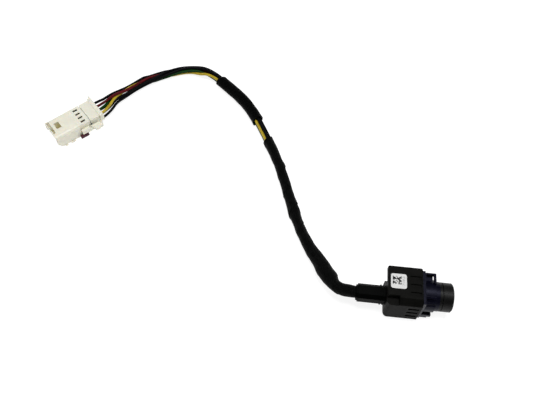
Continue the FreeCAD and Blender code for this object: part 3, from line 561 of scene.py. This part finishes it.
def lane_keys(lane, column, row):
    """A lane's angle keys and reach keys, ending in the wire's own way of the connector."""
    across, up = column * COLUMN_PITCH, ROW_HEIGHTS[row] - PLUG_WAYS_HEIGHT
    before = lane[-1][1]
    angle = math.degrees(math.atan2(up, across))
    angle += 360.0 * round((before - angle) / 360.0)
    straight = harness.length / MM - (HOLDER_BACK - WIRE_INSET) - 1.0
    keys = [*lane, (straight, angle, math.hypot(across, up))]
    return [(at, turn) for at, turn, _ in keys], [(at, reach) for at, _, reach in keys]


def push_apart(lanes, floor):
    """Move wires that share a place in one cross-section apart, half each, until they just touch, and
    keep them above the surface, which is at the height floor from the line."""
    for _ in range(PUSHES):
        for index, first in enumerate(lanes):
            for second in lanes[index + 1:]:
                between = second - first
                if between.length < WIRE_GAP:
                    move = between.normalized() * (WIRE_GAP - between.length) / 2.0
                    first -= move
                    second += move
            first.y = max(first.y, floor + FLOOR_GAP)


def bundle_lanes():
    """Each wire's offset across and above the line, in metres, at each step along the harness."""
    steps = round(harness.length / WIRE_STEP)
    stations = [harness.length * step / steps for step in range(steps + 1)]
    floors = [-harness.at(station)[0].z for station in stations]
    keys = [lane_keys(lane, column, row) for _, column, row, lane in WIRES.values()]
    sections = []
    for station in stations:
        section = []
        for angles, reaches in keys:
            angle = math.radians(eased(angles, station / MM))
            reach = eased(reaches, station / MM) * MM
            section.append(Vector((reach * math.cos(angle), reach * math.sin(angle))))
        sections.append(section)
    for _ in range(ROUNDS):
        for section, floor in zip(sections, floors):
            push_apart(section, floor)
        for _ in range(SMOOTHINGS):
            for before, here, after in zip(sections, sections[1:], sections[2:]):
                for wire, lane in enumerate(here):
                    here[wire] = lane * 0.5 + (before[wire] + after[wire]) * 0.25
    return stations, sections


def make_wires():
    """One tube for each wire, along its own lane of the bundle."""
    stations, sections = bundle_lanes()
    for wire, (name, (slot, _, _, _)) in enumerate(WIRES.items()):
        path = []
        for station, section in zip(stations, sections):
            point, _, across, above = harness.at(station)
            path.append(point + across * section[wire].x + above * section[wire].y)
        own = Line(path)
        rings = []
        for distance in own.distances:
            point, _, across, above = own.at(distance)
            rings.append(circle_points(point, across, above, WIRE_RADIUS, WIRE_SIDES))
        points, faces, uv = skin(rings, own.distances)
        piece = make_piece(name + "_insulation", points, faces, slot, uv=uv)
        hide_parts(name)


# ---- tape and sleeve ------------------------------------------------------------------------

# In millimetres: the ends of the tape and sleeve along the harness, and their inner radii.
TAPE_START, TAPE_END = 7.2, 123.9
SLEEVE_START, SLEEVE_END = 140.2, 181.3
TAPE_LINING, SLEEVE_LINING = 2.62, 3.05
# The tape's least thickness, the sleeve's outer radius, and how far loose threads stand out at a cut end.
TAPE_THINNEST = 0.15
SLEEVE_RADIUS = 3.55
FRAY_DEPTH = 0.35
# The points round a sheath, and the distance between its rings.
SHEATH_SIDES = 84
SHEATH_STEP = 0.33
CLEAR_OF_FLOOR = 0.03 * MM

# The tape's outer radius, as (millimetres along the harness, millimetres).
TAPE_PROFILE = [
    (7.2, 2.85), (9.5, 3.1), (13, 3.2), (19, 3.15), (26, 3.95), (31, 4.05), (38, 3.6), (50, 3.2), (58, 3.0),
    (64, 2.8), (70, 3.15), (76, 3.1), (86, 2.95), (96, 2.9), (104, 2.85), (114, 3.1), (123.9, 3.2),
]
# Lumps under the tape: millimetres along, degrees from the outer side over the top, spread, height.
TAPE_LUMPS = [
    (14, 80, 3.0, 0.2), (25, 0, 3.2, 0.6), (28, 150, 6.0, 0.25), (34, 30, 6.0, 0.3), (44, 200, 7.0, 0.25),
    (55, 80, 5.0, 0.2), (64, 60, 2.6, -0.25), (72, 20, 3.5, 0.5), (84, 170, 6.0, 0.2), (103, 10, 2.2, 0.4),
    (118, 100, 5.0, 0.2),
]
# How wide every lump is round the tape, in radians.
LUMP_WIDTH = 0.9
# The tape's turns: their pitch, the place of one edge, and how fast an edge's step fades round the turn.
TAPE_PITCH = 13.0
TAPE_EDGE_AT = 102.0
TAPE_EDGE_FADE = 2.2
# The tape starts smooth at the boot and takes its full relief over a short way.
RELIEF_START, RELIEF_LENGTH = 7.5, 4.0
# How high the edge of each turn stands, as (millimetres along the harness, millimetres).
TAPE_EDGES = [
    (0, 0.1), (20, 0.24), (34, 0.12), (55, 0.12), (64, 0.42), (78, 0.38), (88, 0.12), (100, 0.3), (108, 0.14),
]


def tape_reach(at, angle):
    """The tape's radius: its profile, the wires and lumps under it, and the step of each turn's edge."""
    turn = (at - TAPE_EDGE_AT) / TAPE_PITCH + angle / math.tau
    since_edge = turn - math.floor(turn)
    step = eased(TAPE_EDGES, at) * max(0.0, 1.0 - TAPE_EDGE_FADE * since_edge)
    wires = 0.07 * math.cos(3.0 * angle + at / 9.0) + 0.05 * math.cos(2.0 * angle - at / 5.0)
    lumps = 0.0
    for place, degrees, spread, height in TAPE_LUMPS:
        along = (at - place) / spread
        around = math.remainder(angle - math.radians(degrees), math.tau) / LUMP_WIDTH
        lumps += height * math.exp(-along * along - around * around)
    rough = 0.10 * noise.noise(Vector((at / 2.6, math.cos(angle) * 1.6, math.sin(angle) * 1.6)))
    settled = min(1.0, max(0.0, (at - RELIEF_START) / RELIEF_LENGTH))
    relief = step + wires + lumps + rough
    return max(TAPE_LINING + TAPE_THINNEST, eased(TAPE_PROFILE, at) + settled * relief)


def sleeve_reach(at, angle):
    """The sleeve's radius: a loose tube, flared a little at its ends, with shallow wrinkles."""
    flare = 0.22 * math.exp(-(at - SLEEVE_START) / 1.6) + 0.12 * math.exp(-(SLEEVE_END - at) / 1.6)
    wrinkle = 0.16 * noise.noise(Vector((at / 4.5, math.cos(angle) * 1.1, math.sin(angle) * 1.1 + 7.0)))
    flat = 0.10 * math.cos(2.0 * angle + at / 14.0)
    return SLEEVE_RADIUS + flare + wrinkle + flat


def frayed(angle, seed, slant, depth):
    """How far a cut end of cloth runs past its place, in millimetres: a slant, and short loose threads."""
    threads = noise.noise(Vector((math.cos(angle) * 6.0, math.sin(angle) * 6.0, seed)))
    return slant * math.cos(angle) + depth * threads


def make_sheath(name, node, slot, span, reach, lining, slants):
    """A hollow cloth tube round the harness, of the outer radius reach(at, angle), with frayed ends."""
    start, end = span
    steps = round((end - start) / SHEATH_STEP)
    rings, inner, places = [], [], []
    for step in range(steps + 1):
        share = step / steps
        at = start + (end - start) * share
        outer_ring, inner_ring = [], []
        for turn in range(SHEATH_SIDES):
            angle = math.tau * turn / SHEATH_SIDES
            shift = (1.0 - share) ** 6 * frayed(angle, 1.0, slants[0], FRAY_DEPTH)
            shift += share ** 6 * frayed(angle, 4.0, slants[1], FRAY_DEPTH)
            point, _, across, above = harness.at((at + shift) * MM)
            outward = across * math.cos(angle) + above * math.sin(angle)
            place = point + outward * reach(at, angle) * MM
            place.z = max(place.z, CLEAR_OF_FLOOR)
            outer_ring.append(place)
            inner_ring.append(point + outward * lining * MM)
        rings.append(outer_ring)
        inner.append(inner_ring)
        places.append(at * MM)
    back = range(steps, -1, -1)
    points, faces, uv = skin([*rings, *(inner[step] for step in back)],
                             [*places, *(places[step] for step in back)], loop=True)
    piece = make_piece(name, points, faces, slot, uv=uv)
    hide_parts(node)
    return piece


def make_tape():
    """Cloth tape wound over the wires, from the boot to just short of the sleeve."""
    return make_sheath("cloth_tape_wrap", "tape_wrap", "cloth_tape", (TAPE_START, TAPE_END), tape_reach,
                       TAPE_LINING, (0.0, 0.9))


def make_sleeve():
    """The woven sleeve that is pushed over the wires."""
    return make_sheath("woven_sleeve_tube", "fabric_sleeve", "woven_sleeve", (SLEEVE_START, SLEEVE_END),
                       sleeve_reach, SLEEVE_LINING, (0.6, -0.9))


# ---- floor and CAD finishes -----------------------------------------------------------------

FLOOR_HALF = 3.0
FLOOR_GLOW = 0.88


def add_floor():
    """The plain pale surface under the object. It glows, so that shadows on it stay faint."""
    corners = [(FLOOR_HALF * x, FLOOR_HALF * y, 0.0) for x, y in ((-1, -1), (1, -1), (1, 1), (-1, 1))]
    mesh = bpy.data.meshes.new("floor")
    mesh.from_pydata(corners, [], [(0, 1, 2, 3)])
    paper = Finish("floor_paper", Roughness=0.8, Specular_IOR_Level=0.0,
                   Emission_Strength=FLOOR_GLOW, Emission_Color=WHITE)
    paper.drive("Base Color", paper.blend(paper.cloud(8.0), rgb(0.30, 0.30, 0.30), rgb(0.31, 0.31, 0.31)))
    mesh.materials.append(paper.material)
    place_in_scene("floor", mesh)


def finish_cad_nodes():
    """Give each CAD node the finish of its slot in the record."""
    for name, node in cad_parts.items():
        for number, slot in enumerate(node.material_slots):
            wanted = slot.material.name.split(".")[0] if slot.material else None
            if wanted in finishes:
                node.material_slots[number].material = finishes[wanted]


finishes = make_finishes()
harness = Line(spline_points([*(Vector(point) * MM for point in HARNESS_ROUTE),
                              in_connector(LEAD_IN, 0.0, PLUG_WAYS_HEIGHT),
                              in_connector(WIRE_INSET, 0.0, PLUG_WAYS_HEIGHT)]))
add_camera()
add_light()
add_floor()
finish_cad_nodes()
tape = make_tape()
sleeve = make_sleeve()
make_wires()
